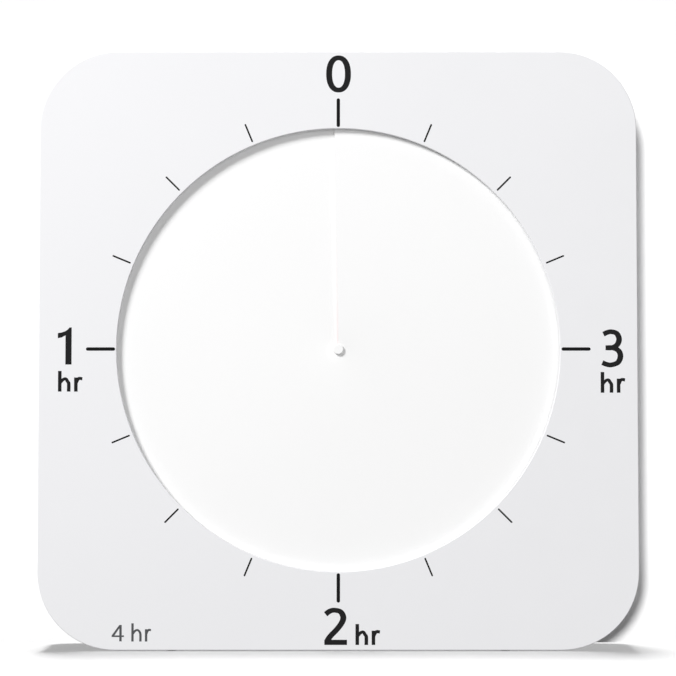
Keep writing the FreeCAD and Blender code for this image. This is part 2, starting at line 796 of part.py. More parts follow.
def along_depth(radius, start, end, x=0.0, z=0.0):
    """A plain cylinder along the depth, as a tool for pieces set in code."""
    start, end = as_size(start).value, as_size(end).value
    base = Vector(x, start, z)
    return Part.makeCylinder(as_size(radius).value, end - start, base, Vector(0, 1, 0))


def gear_feature(name, shape, z):
    feature = doc.addObject("Part::Feature", name)
    feature.Shape = shape.removeSplitter()
    place(feature, name, 0, z)


def main_gear():
    start, end = d.gear_front, d.gear_front + d.gear_thick
    shape = gear_solid(gear_teeth, d.gear_addendum.value, math.radians(90), d.tooth_play.value)
    shape.translate(Vector(0, start.value, 0))
    window_circle = d.gear_module.value * gear_teeth * 0.3
    for step in range(6):
        angle = math.radians(60 * step)
        shape = shape.cut(along_depth(d.gear_module * 6, start, end,
                                      window_circle * math.cos(angle), window_circle * math.sin(angle)))
    shape = shape.cut(along_depth(d.spindle_radius + d.bearing_play, start, end))
    gear_feature("main_gear", shape, 0)


def drive_pinion():
    start, end = d.gear_front, d.gear_front + d.gear_thick
    first = math.pi / 2 + math.pi / pinion_teeth
    shape = gear_solid(pinion_teeth, d.pinion_addendum.value, first, d.tooth_play.value)
    shape.translate(Vector(0, start.value, 0))
    shape = shape.cut(along_depth(d.motor_shaft_radius + d.bearing_play, start, end))
    gear_feature("drive_pinion", shape, -gear_distance)


def motor_shaft():
    body = new_body("motor_shaft", 0, -gear_distance)
    pad(body, "shaft", d.gear_front - 1, chassis_back + 6, lambda s: circle(s, 0, 0, d.motor_shaft_radius))


def bushing(name, flange_front, flange_back, sleeve_end):
    """A flanged bush: the flange first, then the sleeve that sits in the wall behind it."""
    body = new_body(name)
    bore = d.spindle_radius + d.bearing_play
    turned(body, "bush", [
        (bore, flange_front),
        (d.bush_flange, flange_front),
        (d.bush_flange, flange_back),
        (d.bush_radius, flange_back),
        (d.bush_radius, sleeve_end),
        (bore, sleeve_end),
    ])


def drive_chassis():
    body = new_body("drive_chassis")
    start, end = d.chassis_front, chassis_back
    pad(body, "plate", start, end,
        lambda s: rounded_box(s, 0, 0, d.chassis_width, d.chassis_height, d.chassis_corner))

    def holes(sketch):
        circles(sketch, post_places, d.screw_radius + d.run_play)
        circle(sketch, 0, 0, d.bush_radius + d.bearing_play)
        circle(sketch, 0, -gear_distance, d.motor_shaft_radius + 3 + d.bearing_play)
        circles(sketch, ear_places(), d.small_screw + d.bearing_play)
        for sign in (1, -1):
            rounded_box(sketch, 32 * sign, 0, 22, 44, 6)

    pocket(body, "holes", start, end, holes)


def ear_places():
    """The two screws that hold the motor."""
    inset = d.small_head + 0.7
    return [((d.ear_reach - inset) * sign, -gear_distance) for sign in (1, -1)]


def geared_motor():
    body = new_body("geared_motor", 0, -gear_distance)
    can_radius = d.motor_radius * 0.75
    can_front = chassis_back + 1.2
    turned(body, "can", [
        (0, d.chassis_front + 0.5),
        (d.motor_shaft_radius + 3, d.chassis_front + 0.5),
        (d.motor_shaft_radius + 3, chassis_back),
        (can_radius, chassis_back),
        (can_radius, can_front),
        (d.motor_radius * 0.75, chassis_back + d.motor_depth),
        (d.motor_radius * 0.5, chassis_back + d.motor_depth),
        (d.motor_radius * 0.5, chassis_back + d.motor_depth + 2),
        (0, chassis_back + d.motor_depth + 2),
    ])
    ear_height = 2 * (d.small_head + 0.7)
    pad(body, "ears", chassis_back, can_front,
        lambda s: rounded_box(s, 0, 0, d.ear_reach * 2, ear_height, d.small_head))
    pocket(body, "ear_holes", chassis_back, can_front,
           lambda s: circles(s, [(x, 0) for x, z in ear_places()], d.small_screw + d.run_play))
    pocket(body, "shaft_hole", d.chassis_front + 0.5, chassis_back + 6,
           lambda s: circle(s, 0, 0, d.motor_shaft_radius + d.bearing_play))


def set_knob():
    body = new_body("set_knob")
    pad(body, "grip", knob_front, knob_back, lambda s: circle(s, 0, 0, d.knob_radius))
    round_edges(body, "grip_edge", 1.5, at_depth(knob_back))
    dish = d.knob_radius - 4
    pocket(body, "dish", knob_back - 2, knob_back, lambda s: circle(s, 0, 0, dish))
    pad(body, "finger_bar", knob_back - 2.5, knob_back - 0.4, lambda s: box(s, 0, 0, 6, dish * 2))

    def flutes(sketch):
        for step in range(18):
            angle = math.radians(20 * step)
            reach = d.knob_radius + d.flute_radius * 0.55
            circle(sketch, reach * math.cos(angle), reach * math.sin(angle), d.flute_radius)

    pocket(body, "flutes", knob_front + 1.5, knob_back, flutes)
    pocket(body, "bore", knob_front, knob_back - 3,
           lambda s: flatted(s, d.spindle_radius, d.spindle_flat, d.bearing_play))


def main_board():
    body = new_body("main_board", 0, d.panel_z)
    pad(body, "board", board_front, board_back,
        lambda s: rounded_box(s, 0, 0, board_half_x * 2, board_half_z * 2, 2))
    pocket(body, "holes", board_front, board_back,
           lambda s: circles(s, [(x, z - d.panel_z) for x, z in board_screw_places],
                             d.small_screw + d.run_play))


def board_components():
    body = new_body("board_components", 0, d.panel_z)
    pad(body, "chips", board_front - 1.6, board_front,
        lambda s: [box(s, x, z, width, height) for x, z, width, height in (
            (-15, 0, 12, 12), (12, 6, 8, 6), (30, -8, 10, 5))])
    pad(body, "cans", board_front - 5, board_front, lambda s: circles(s, ((-40, 8), (-52, 8), (48, 8)), 4))
    pad(body, "plug_sockets", board_front - 4, board_front,
        lambda s: [box(s, x, -14, 10, 5) for x in (-50, -8, 50)])


def selector_switch():
    body = new_body("selector_switch", -d.control_spacing, d.panel_z)
    pad(body, "case", board_back, panel_inside, lambda s: rounded_box(s, 0, 0, 14, 14, 1.5))
    pocket(body, "stem_hole", board_back + 1.5, panel_inside,
           lambda s: circle(s, 0, 0, d.selector_stem + d.bearing_play))


def selector_knob():
    body = new_body("selector_knob", -d.control_spacing, d.panel_z)
    front = panel_floor + d.run_play
    pad(body, "stem", board_back + 2, front, lambda s: circle(s, 0, 0, d.selector_stem))
    pad(body, "knob", front, front + 2.2, lambda s: circle(s, 0, 0, d.selector_radius))
    pad(body, "pointer", front + 2.2, front + 4.2,
        lambda s: rounded_box(s, 0, 0, 4, d.selector_radius * 1.8, 1.5))


def volume_switch():
    body = new_body("volume_switch", 0, d.panel_z)
    pad(body, "case", board_back, panel_inside, lambda s: rounded_box(s, 0, 0, 24, 9, 1))
    slot_length = d.slider_travel + 3 + 2 * d.run_play
    pocket(body, "slot", board_back + 1.5, panel_inside,
           lambda s: box(s, 0, 0, slot_length, 2 + 2 * d.run_play))


def volume_slider():
    body = new_body("volume_slider", -d.slider_travel / 2, d.panel_z)
    front = panel_floor + d.run_play
    pad(body, "lever", board_back + 2, front, lambda s: box(s, 0, 0, 3, 2))
    pad(body, "cap", front, front + 1.6, lambda s: rounded_box(s, 0, 0, 9, 11, 1))
    pad(body, "grip_ridges", front + 1.6, front + 3.2,
        lambda s: [box(s, x, 0, 1, 9) for x in (-3, 0, 3)])


def start_switch():
    body = new_body("start_switch", d.control_spacing, d.panel_z)
    pad(body, "case", board_back, board_back + 1.3, lambda s: rounded_box(s, 0, 0, 8, 8, 1))
    pad(body, "plunger", board_back + 1.3, board_back + 1.7, lambda s: circle(s, 0, 0, 1.6))


def start_button():
    body = new_body("start_button", d.control_spacing, d.panel_z)
    flange_front = board_back + 1.8 + d.button_travel
    flange_back = panel_inside - d.run_play
    turned(body, "button", [
        (0, flange_front),
        (d.button_radius + 1.5, flange_front),
        (d.button_radius + 1.5, flange_back),
        (d.button_radius, flange_back),
        (d.button_radius, panel_floor + 2.4),
        (d.button_radius - 1, panel_floor + 3.2),
        (0, panel_floor + 3.6),
    ])


def speaker():
    """A small round loudspeaker: rim, basket and magnet, facing the back."""
    body = new_body("speaker", d.speaker_x, d.speaker_z)
    back = back_inside
    magnet_front = back - d.speaker_depth
    turned(body, "frame", [
        (0, magnet_front),
        (d.speaker_radius * 0.5, magnet_front),
        (d.speaker_radius * 0.5, magnet_front + 5),
        (d.speaker_radius * 0.6, magnet_front + 5),
        (d.speaker_radius * 0.88, back - 2),
        (d.speaker_radius, back - 2),
        (d.speaker_radius, back),
        (d.speaker_radius * 0.88, back),
        (d.speaker_radius * 0.5, magnet_front + 8),
        (0, magnet_front + 8),
    ])


def battery_cells():
    """Four AA cells side by side, each turned the other way from its neighbour."""
    body = new_body("battery_cells", 0, 0)
    length = d.cell_length + d.nub_length
    for step, z in enumerate(cell_places):
        flip = 1 if step % 2 == 0 else -1
        nub_face = (bay_half_x - d.contact_thick) * flip
        shoulder = nub_face - d.nub_length * flip
        tail = nub_face - length * flip
        low, high = (tail, shoulder) if flip > 0 else (shoulder, tail)
        pad(body, f"cell_{step + 1}", low, high,
            lambda s, z=z: circle(s, cell_depth, z, d.cell_radius), "YZ_Plane")
        low, high = (shoulder, nub_face) if flip > 0 else (nub_face, shoulder)
        pad(body, f"nub_{step + 1}", low, high,
            lambda s, z=z: circle(s, cell_depth, z, d.nub_radius), "YZ_Plane")


def battery_contacts():
    body = new_body("battery_contacts")
    for name, low, high in (("left", -bay_half_x, d.contact_thick - bay_half_x),
                            ("right", bay_half_x - d.contact_thick, bay_half_x)):
        pad(body, f"{name}_plates", low, high,
            lambda s: [box(s, cell_depth, z, 11, 11) for z in cell_places], "YZ_Plane")


def battery_springs():
    """Coned springs that press on the flat ends of the cells."""
    group = []
    reach = d.spring_length
    for step, z in enumerate(cell_places):
        side = -1 if step % 2 == 0 else 1
        coil = doc.addObject("Part::Cone", f"spring_{step + 1}")
        bind(coil, "Height", reach)
        bind(coil, "Radius1", d.cell_radius * 0.6)
        bind(coil, "Radius2", d.cell_radius * 0.35)
        coil.Placement.Rotation = FreeCAD.Rotation(Vector(0, 1, 0), 90 if side < 0 else -90)
        bind(coil, "Placement.Base.x", (bay_half_x - d.contact_thick) * side)
        bind(coil, "Placement.Base.y", cell_depth)
        bind(coil, "Placement.Base.z", z)
        group.append(coil)
    springs = doc.addObject("Part::Compound", "battery_springs")
    springs.Links = group
    place(springs, "battery_springs", 0, 0)


def battery_door():
    body = new_body("battery_door", 0, d.bay_centre)
    half_x = bay_half_x + d.door_ledge - d.run_play
    half_z = bay_half_z + d.door_ledge - d.run_play
    pad(body, "door", back_inside, case_back, lambda s: rounded_box(s, 0, 0, half_x * 2, half_z * 2, 2.7))
    tab_z = bay_half_z - d.run_play - d.door_tab_thick / 2
    tab_places = [(d.door_tab_spread * sx, tab_z * sz) for sx, sz in mirror_pairs]
    pad(body, "locating_tabs", back_inside - d.door_tab_reach, back_inside,
        lambda s: [box(s, x, z, d.door_tab_thick * 5, d.door_tab_thick) for x, z in tab_places])
    groove = d.thumb_groove_pitch / 2
    first_groove = half_z - d.thumb_groove_inset
    pocket(body, "thumb_grooves", case_back - groove, case_back,
           lambda s: [box(s, 0, first_groove - d.thumb_groove_pitch * step, d.thumb_groove_width, groove)
                      for step in range(4)])


def foot(name, side):
    """A swing-out foot, folded into its notch, with its pivot at the outer end."""
    body = new_body(name, foot_pivot * side, 0)
    half = d.foot_width / 2
    round_end = d.foot_length - half

    def bar(sketch):
        circle(sketch, 0, foot_middle, half)

    pad(body, "pivot_end", foot_sole, foot_top, bar, "XY_Plane")

    def beam(sketch):
        inner = -round_end * side
        tip = -d.foot_length * side
        front, back = foot_middle - half, foot_middle + half
        polygon(sketch, [(0, front), (inner, front), (tip, foot_middle - half / 2),
                         (tip, foot_middle + half / 2), (inner, back), (0, back)])

    pad(body, "beam", foot_sole, foot_top, beam, "XY_Plane")
    pocket(body, "pin_hole", foot_sole, foot_top,
           lambda s: circle(s, 0, foot_middle, d.foot_pin_radius + d.bearing_play), "XY_Plane")
    pocket(body, "head_seat", foot_sole, foot_sole + 1.8,
           lambda s: circle(s, 0, foot_middle, d.foot_pin_radius * 1.6 + d.run_play), "XY_Plane")


def foot_pins():
    body = new_body("foot_pins")
    places = [(foot_pivot, foot_middle), (-foot_pivot, foot_middle)]
    roof = foot_top + d.run_play + d.case_wall
    pad(body, "pins", foot_sole + 1.4, roof + 3,
        lambda s: circles(s, places, d.foot_pin_radius), "XY_Plane")
    pad(body, "heads", foot_sole + 0.2, foot_sole + 1.4,
        lambda s: circles(s, places, d.foot_pin_radius * 1.6), "XY_Plane")


def floor_pads():
    body = new_body("floor_pads")
    pad(body, "pads", floor_level, -case_half,
        lambda s: circles(s, floor_pad_places, d.floor_pad_radius), "XY_Plane")


def wall_pads():
    body = new_body("wall_pads")
    reach = case_half - d.wall_pad_inset
    places = [(reach * sx, reach * sz) for sx, sz in mirror_pairs]
    pad(body, "pads", case_back, total_depth, lambda s: circles(s, places, d.wall_pad_radius))


dial_plate()
dial_magnets()
strike_discs()
front_shell()
rear_shell()
face_ring()
screw_sheet("face_sheet", d.sheet_bore, ring_inner - d.bearing_play, sheet_middle, 2)
screw_sheet("time_disc", d.barrel_radius + d.bearing_play, disc_radius,
            sheet_middle + d.screw_pitch / 2, 0)
disc_hub()
hub_cap()
spindle()
main_gear()
drive_pinion()
motor_shaft()
bushing("front_bushing", d.chassis_front - d.bush_flange_thick, d.chassis_front, chassis_back)
rear_seat = cup_floor - d.case_wall
bushing("rear_bushing", rear_seat - d.bush_flange_thick, rear_seat, cup_floor)
drive_chassis()
geared_motor()
set_knob()
main_board()
board_components()
selector_switch()
selector_knob()
volume_switch()
volume_slider()
start_switch()
start_button()
speaker()
battery_cells()
battery_contacts()
battery_springs()
battery_door()
foot("left_foot", -1)
foot("right_foot", 1)
foot_pins()
floor_pads()
wall_pads()
screws("case_screws", case_screw_places, screw_seat, d.screw_head, screw_seat + d.screw_head_thick,
       d.screw_radius, split - 10)
screws("ring_screws", ring_screw_places, ring_back, d.small_head, ring_back + d.small_head_thick,
       d.small_screw, ring_back - d.flange_thick - 3.5)
screws("chassis_screws", post_places, d.chassis_front, d.screw_head, d.chassis_front - d.screw_head_thick,
       d.screw_radius, chassis_back + 9)
screws("motor_screws", ear_places(), chassis_back + 1.2, d.small_head,
       chassis_back + 1.2 + d.small_head_thick, d.small_screw, d.chassis_front + 0.3)
screws("board_screws", board_screw_places, board_front, d.small_head, board_front - d.small_head_thick,
       d.small_screw, board_back + 3.5)
doc.recompute()

# Every object must be sound before any file is written
for item in doc.Objects:
    if "Invalid" in item.State or "Error" in item.State:
        raise ValueError(f"{item.Name} failed: {item.State}")
for name, node in nodes.items():
    if node.Shape.isNull() or not node.Shape.isValid() or not node.Shape.Solids:
        raise ValueError(f"{name} has no sound shape")

os.makedirs("parts", exist_ok=True)
for name, node in nodes.items():
    node.Shape.exportStep(f"parts/{name}.step")
    print(f"{name}: {len(node.Shape.Solids)} solids, {node.Shape.Volume / 1000:.2f} cm3")
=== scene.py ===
import math

import bmesh
import bpy
from mathutils import Matrix, Vector


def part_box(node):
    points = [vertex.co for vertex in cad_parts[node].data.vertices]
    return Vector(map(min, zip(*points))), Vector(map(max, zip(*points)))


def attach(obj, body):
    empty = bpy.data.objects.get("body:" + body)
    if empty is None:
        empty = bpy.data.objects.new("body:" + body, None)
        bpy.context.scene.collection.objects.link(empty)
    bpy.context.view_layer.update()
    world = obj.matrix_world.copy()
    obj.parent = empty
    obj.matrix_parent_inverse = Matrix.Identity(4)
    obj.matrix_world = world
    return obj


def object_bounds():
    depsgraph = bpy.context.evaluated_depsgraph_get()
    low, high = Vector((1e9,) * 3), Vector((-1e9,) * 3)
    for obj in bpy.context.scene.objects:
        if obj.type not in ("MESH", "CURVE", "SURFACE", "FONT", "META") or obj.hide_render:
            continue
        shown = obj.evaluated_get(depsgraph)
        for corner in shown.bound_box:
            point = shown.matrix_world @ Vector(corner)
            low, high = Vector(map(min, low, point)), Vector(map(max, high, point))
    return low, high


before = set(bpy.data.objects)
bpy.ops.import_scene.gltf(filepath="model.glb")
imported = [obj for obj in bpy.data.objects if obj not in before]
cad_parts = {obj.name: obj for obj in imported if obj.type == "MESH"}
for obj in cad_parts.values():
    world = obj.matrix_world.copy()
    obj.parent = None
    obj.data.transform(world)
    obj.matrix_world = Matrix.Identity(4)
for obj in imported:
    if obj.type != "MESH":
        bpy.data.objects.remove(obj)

CAD_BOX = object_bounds()

MM = 0.001
PLATE_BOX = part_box("dial_plate")
PLATE_FRONT = PLATE_BOX[0][1]
DIAL_CENTRE = Vector((0, PLATE_FRONT, (PLATE_BOX[0][2] + PLATE_BOX[1][2]) / 2))
PLATE_SIZE = PLATE_BOX[1][0] - PLATE_BOX[0][0]


def new_object(name, data):
    """A new object in the scene's own collection."""
    made = bpy.data.objects.new(name, data)
    bpy.context.scene.collection.objects.link(made)
    return made


def srgb(*levels):
    """Linear colour from 0 to 255 screen levels."""
    linear = []
    for level in levels:
        part = level / 255
        linear.append(part / 12.92 if part <= 0.04045 else ((part + 0.055) / 1.055) ** 2.4)
    return (*linear, 1.0)


# Materials

NOISE_LOW = 0.3
NOISE_HIGH = 0.7
CLOUD_SCALE = 9.0
GLOSS_SCALE = 60.0
STAIN_SCALE = 70.0


class Nodes:
    """A small helper that builds one node material."""

    def __init__(self, name):
        self.material = bpy.data.materials.new(name)
        self.material.use_nodes = True
        self.tree = self.material.node_tree
        self.tree.nodes.clear()
        self.output = self.add("ShaderNodeOutputMaterial")

    def add(self, kind, inputs=None, **settings):
        node = self.tree.nodes.new(kind)
        for name, value in settings.items():
            setattr(node, name, value)
        for name, value in (inputs or {}).items():
            if isinstance(value, bpy.types.NodeSocket):
                self.tree.links.new(value, node.inputs[name])
            else:
                node.inputs[name].default_value = value
        return node

    def noise(self, scale, detail=2.0, stretch=(1, 1, 1)):
        """Noise fixed to the piece, with its scale in features per metre."""
        place = self.add("ShaderNodeTexCoord").outputs["Object"]
        mapped = self.add("ShaderNodeMapping", {"Vector": place, "Scale": stretch})
        made = self.add("ShaderNodeTexNoise", {"Vector": mapped.outputs["Vector"],
                                               "Scale": scale, "Detail": detail})
        return made.outputs["Fac"]

    def spread(self, factor, low, high):
        """Turn the usual reach of a noise into a range of values."""
        made = self.add("ShaderNodeMapRange", {"Value": factor, "From Min": NOISE_LOW,
                                               "From Max": NOISE_HIGH, "To Min": low,
                                               "To Max": high})
        return made.outputs["Result"]

    def tint(self, factor, low, high):
        """Mix two colours by a noise."""
        ramp = self.spread(factor, 0.0, 1.0)
        mix = self.add("ShaderNodeMix", data_type="RGBA")
        self.tree.links.new(ramp, mix.inputs["Factor"])
        mix.inputs["A"].default_value = low
        mix.inputs["B"].default_value = high
        return mix.outputs["Result"]

    def bump(self, height, distance):
        made = self.add("ShaderNodeBump", {"Height": height, "Distance": distance})
        return made.outputs["Normal"]

    def surface(self, inputs):
        shader = self.add("ShaderNodeBsdfPrincipled", inputs)
        self.tree.links.new(shader.outputs["BSDF"], self.output.inputs["Surface"])
        return self.material


def scaled(colour, factor):
    return (colour[0] * factor, colour[1] * factor, colour[2] * factor, 1.0)


def moulded(name, colour, roughness, grain, depth, drift, specular=0.35):
    """Moulded plastic: a fine spark-eroded grain, faint clouding and slightly uneven gloss."""
    made = Nodes(name)
    cloud = made.noise(CLOUD_SCALE, 3.0)
    grains = made.noise(grain)
    slow = made.noise(GLOSS_SCALE, 3.0)
    colours = made.tint(cloud, scaled(colour, 1 - drift), scaled(colour, 1 + drift))
    gloss = made.spread(slow, roughness - 0.04, roughness + 0.05)
    rough = made.bump(grains, depth)
    return made.surface({"Base Color": colours, "Roughness": gloss, "Normal": rough,
                         "Specular IOR Level": specular})


def metal(name, colour, roughness, stretch=(1, 1, 14), scale=500.0, depth=0.000004):
    """Drawn or turned metal with fine tool marks one way."""
    made = Nodes(name)
    marks = made.noise(scale, 4.0, stretch)
    stain = made.noise(STAIN_SCALE, 3.0)
    colours = made.tint(stain, scaled(colour, 0.9), scaled(colour, 1.06))
    gloss = made.spread(marks, roughness - 0.07, roughness + 0.1)
    rough = made.bump(marks, depth)
    return made.surface({"Base Color": colours, "Metallic": 1.0, "Roughness": gloss,
                         "Normal": rough})


def rubber(name, colour):
    made = Nodes(name)
    dust = made.noise(350.0, 4.0)
    pores = made.noise(3000.0)
    colours = made.tint(dust, scaled(colour, 0.85), scaled(colour, 1.25))
    gloss = made.spread(dust, 0.72, 0.88)
    return made.surface({"Base Color": colours, "Roughness": gloss,
                         "Normal": made.bump(pores, 0.00003), "Specular IOR Level": 0.3})


def ink(name, colour):
    """Screen-printed ink: thin, matt and slightly uneven."""
    made = Nodes(name)
    cover = made.noise(1800.0, 3.0)
    colours = made.tint(cover, scaled(colour, 0.9), scaled(colour, 1.12))
    gloss = made.spread(cover, 0.55, 0.68)
    return made.surface({"Base Color": colours, "Roughness": gloss,
                         "Normal": made.bump(cover, 0.000004), "Specular IOR Level": 0.1})


def board_green(name):
    """Solder mask over copper tracks."""
    made = Nodes(name)
    place = made.add("ShaderNodeTexCoord").outputs["Object"]
    tracks = made.add("ShaderNodeTexBrick", {"Vector": place, "Scale": 160.0, "Mortar Size": 0.06,
                                             "Color1": srgb(20, 92, 48), "Color2": srgb(18, 84, 44),
                                             "Mortar": srgb(44, 128, 66)})
    gloss = made.spread(made.noise(900.0), 0.3, 0.42)
    return made.surface({"Base Color": tracks.outputs["Color"], "Roughness": gloss,
                         "Normal": made.bump(tracks.outputs["Fac"], 0.00004)})


PLATE_WHITE = srgb(239, 239, 241)
CASE_WHITE = srgb(234, 234, 236)
FACE_WHITE = srgb(252, 252, 252)
CONTROL_GREY = srgb(74, 77, 82)

plate_plastic = moulded("plate_plastic", PLATE_WHITE, 0.5, 3200.0, 0.000006, 0.006)
case_plastic = moulded("case_plastic", CASE_WHITE, 0.52, 1700.0, 0.00002, 0.012)
face_plastic = moulded("face_plastic", FACE_WHITE, 0.6, 2600.0, 0.000004, 0.004, 0.25)
disc_red = moulded("disc_red", srgb(206, 32, 38), 0.48, 2400.0, 0.000006, 0.02)
control_plastic = moulded("control_plastic", CONTROL_GREY, 0.5, 1500.0, 0.00003, 0.05)
switch_plastic = moulded("switch_plastic", srgb(34, 34, 36), 0.45, 1500.0, 0.00002, 0.08)
gear_plastic = moulded("gear_plastic", srgb(232, 228, 212), 0.42, 1200.0, 0.00001, 0.03)
component_black = moulded("component_black", srgb(26, 26, 28), 0.36, 1400.0, 0.00001, 0.1)
cell_sleeve = moulded("cell_sleeve", srgb(196, 150, 60), 0.3, 900.0, 0.000004, 0.05, 0.5)
steel = metal("steel", srgb(190, 191, 194), 0.32)
zinc_steel = metal("zinc_steel", srgb(176, 178, 182), 0.36, (1, 1, 1), 900.0)
nickel = metal("nickel", srgb(206, 204, 198), 0.24)
brass = metal("brass", srgb(198, 158, 84), 0.3, (1, 1, 1), 700.0)
bronze = metal("bronze", srgb(172, 128, 78), 0.45, (1, 1, 1), 1500.0, 0.00001)
speaker_paint = moulded("speaker_paint", srgb(32, 32, 34), 0.55, 1200.0, 0.00003, 0.1)
pad_rubber = rubber("pad_rubber", srgb(70, 71, 74))
board_mask = board_green("board_mask")
black_ink = ink("black_ink", srgb(3, 3, 4))
number_ink = ink("number_ink", srgb(22, 22, 23))
fine_ink = ink("fine_ink", srgb(14, 14, 15))
grey_ink = ink("grey_ink", srgb(84, 85, 87))

FINISHES = {
    "dial_plate": plate_plastic,
    "dial_magnets": nickel,
    "strike_discs": zinc_steel,
    "front_shell": case_plastic,
    "rear_shell": case_plastic,
    "face_ring": face_plastic,
    "face_sheet": face_plastic,
    "time_disc": disc_red,
    "disc_hub": face_plastic,
    "hub_cap": face_plastic,
    "spindle": steel,
    "main_gear": gear_plastic,
    "drive_pinion": brass,
    "motor_shaft": steel,
    "front_bushing": bronze,
    "rear_bushing": bronze,
    "drive_chassis": zinc_steel,
    "geared_motor": steel,
    "set_knob": control_plastic,
    "main_board": board_mask,
    "board_components": component_black,
    "selector_switch": switch_plastic,
    "selector_knob": control_plastic,
    "volume_switch": switch_plastic,
    "volume_slider": control_plastic,
    "start_switch": switch_plastic,
    "start_button": control_plastic,
    "speaker": speaker_paint,
    "battery_cells": cell_sleeve,
    "battery_contacts": nickel,
    "battery_springs": nickel,
    "battery_door": case_plastic,
    "left_foot": case_plastic,
    "right_foot": case_plastic,
    "foot_pins": steel,
    "floor_pads": pad_rubber,
    "wall_pads": pad_rubber,
    "case_screws": zinc_steel,
    "ring_screws": zinc_steel,
    "chassis_screws": zinc_steel,
    "motor_screws": zinc_steel,
    "board_screws": zinc_steel,
}
for node, finish in FINISHES.items():
    piece = bpy.data.objects[node]
    piece.data.materials.clear()
    piece.data.materials.append(finish)

# Print on the dial plate, drawn in millimetres about the dial centre

INK_THICK = 0.03
INK_LAP = 0.02
INK_LEVELS = 3


def printed(name, outlines, finish):
    """Thin ink shapes on the plate's front: each outline is a closed loop, with an optional hole.

    Strokes that cross take turns in height, so that no two lie in one plane.
    """
    form = bmesh.new()
    for place, (outline, hole) in enumerate(outlines):
        known = set(form.faces)
        loops = [outline] if hole is None else [outline, hole]
        edges = []
        for loop in loops:
            corners = [form.verts.new((x, 0, z)) for x, z in loop]
            edges += [form.edges.new((a, b)) for a, b in zip(corners, corners[1:] + corners[:1])]
        if hole is None:
            form.faces.new(corners)
        else:
            bmesh.ops.triangle_fill(form, edges=edges, use_beauty=True)
        flat = [face for face in form.faces if face not in known]
        bmesh.ops.recalc_face_normals(form, faces=flat)
        grown = bmesh.ops.extrude_face_region(form, geom=flat)
        tops = [item for item in grown["geom"] if isinstance(item, bmesh.types.BMVert)]
        height = INK_THICK + INK_LAP * (place % INK_LEVELS)
        bmesh.ops.translate(form, verts=tops, vec=(0, -height, 0))
    bmesh.ops.recalc_face_normals(form, faces=list(form.faces))
    to_plate = Matrix.Translation(DIAL_CENTRE) @ Matrix.Scale(MM, 4)
    bmesh.ops.transform(form, matrix=to_plate, verts=list(form.verts))
    mesh = bpy.data.meshes.new(name)
    form.to_mesh(mesh)
    form.free()
    mesh.materials.append(finish)
    made = new_object(name, mesh)
    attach(made, "dial")


def arc(centre_x, centre_z, radius, start, end, steps=10):
    """Points on an arc, with angles in degrees counter-clockwise from the right."""
    points = []
    for step in range(steps + 1):
        angle = math.radians(start + (end - start) * step / steps)
        points.append((centre_x + radius * math.cos(angle),
                       centre_z + radius * math.sin(angle)))
    return points


def tick(degrees, inner, outer, width):
    """A bar with round ends that points away from the centre.

    Its degrees run counter-clockwise from the top.
    """
    half = width / 2
    outline = arc(outer - half, 0, half, -90, 90) + arc(inner + half, 0, half, 90, 270)
    turn = math.radians(degrees + 90)
    cos, sin = math.cos(turn), math.sin(turn)
    return [(x * cos - z * sin, x * sin + z * cos) for x, z in outline], None


def between(before, start, end, after, t):
    """One coordinate of a Catmull-Rom curve, part t of the way from start to end."""
    return 0.5 * (2 * start + (end - before) * t
                  + (2 * before - 5 * start + 4 * end - after) * t * t
                  + (3 * start - before - 3 * end + after) * t ** 3)


def smooth_path(points, steps=8):
    """A Catmull-Rom curve through the points."""
    ends = [points[0]] + list(points) + [points[-1]]
    path = []
    for span in zip(ends, ends[1:], ends[2:], ends[3:]):
        for step in range(steps):
            path.append(tuple(between(*near, step / steps) for near in zip(*span)))
    path.append(points[-1])
    return path


def stroked(points, upright, level):
    """The outline of a pen stroke, with its thickness where it runs upright and where level."""
    path = smooth_path(points)
    left, right = [], []
    for step, (x, z) in enumerate(path):
        ahead = path[min(step + 1, len(path) - 1)]
        behind = path[max(step - 1, 0)]
        run_x, run_z = ahead[0] - behind[0], ahead[1] - behind[1]
        length = math.hypot(run_x, run_z)
        run_x, run_z = run_x / length, run_z / length
        half = (upright * run_z * run_z + level * run_x * run_x) / 2
        left.append((x - run_z * half, z + run_x * half))
        right.append((x + run_z * half, z - run_x * half))
    return left + right[::-1], None


def shifted(outlines, x, z):
    """Move outlines to their place on the plate."""
    moved = []
    for outline, hole in outlines:
        there = [(px + x, pz + z) for px, pz in outline]
        hole_there = None if hole is None else [(px + x, pz + z) for px, pz in hole]
        moved.append((there, hole_there))
    return moved


def rectangle(x0, z0, x1, z1):
    return [(x0, z0), (x1, z0), (x1, z1), (x0, z1)], None


def oval(half_x, half_z, squareness, steps=64):
    """A superellipse about the origin."""
    points = []
    for step in range(steps):
        angle = 2 * math.pi * step / steps
        cos, sin = math.cos(angle), math.sin(angle)
        points.append((math.copysign(abs(cos) ** (2 / squareness), cos) * half_x,
                       math.copysign(abs(sin) ** (2 / squareness), sin) * half_z))
    return points


HOURS = 4
TICKS_PER_HOUR = 4
HOUR_TICK = {"inner": 161.0, "outer": 182.0, "width": 2.45}
PART_TICK = {"inner": 162.4, "outer": 176.6, "width": 1.2}

hour_ticks = [tick(360 / HOURS * hour, **HOUR_TICK) for hour in range(HOURS)]
part_ticks = [tick(360 / HOURS / TICKS_PER_HOUR * step, **PART_TICK)
              for step in range(HOURS * TICKS_PER_HOUR) if step % TICKS_PER_HOUR]
printed("hour_ticks", hour_ticks, black_ink)
printed("part_ticks", part_ticks, fine_ink)

# Numerals 27 mm tall; the 0 is drawn about its centre, the others from their lower left corner

PEN = {"upright": 4.1, "level": 3.45}
PEN_TWO = {"upright": 4.3, "level": 3.5}

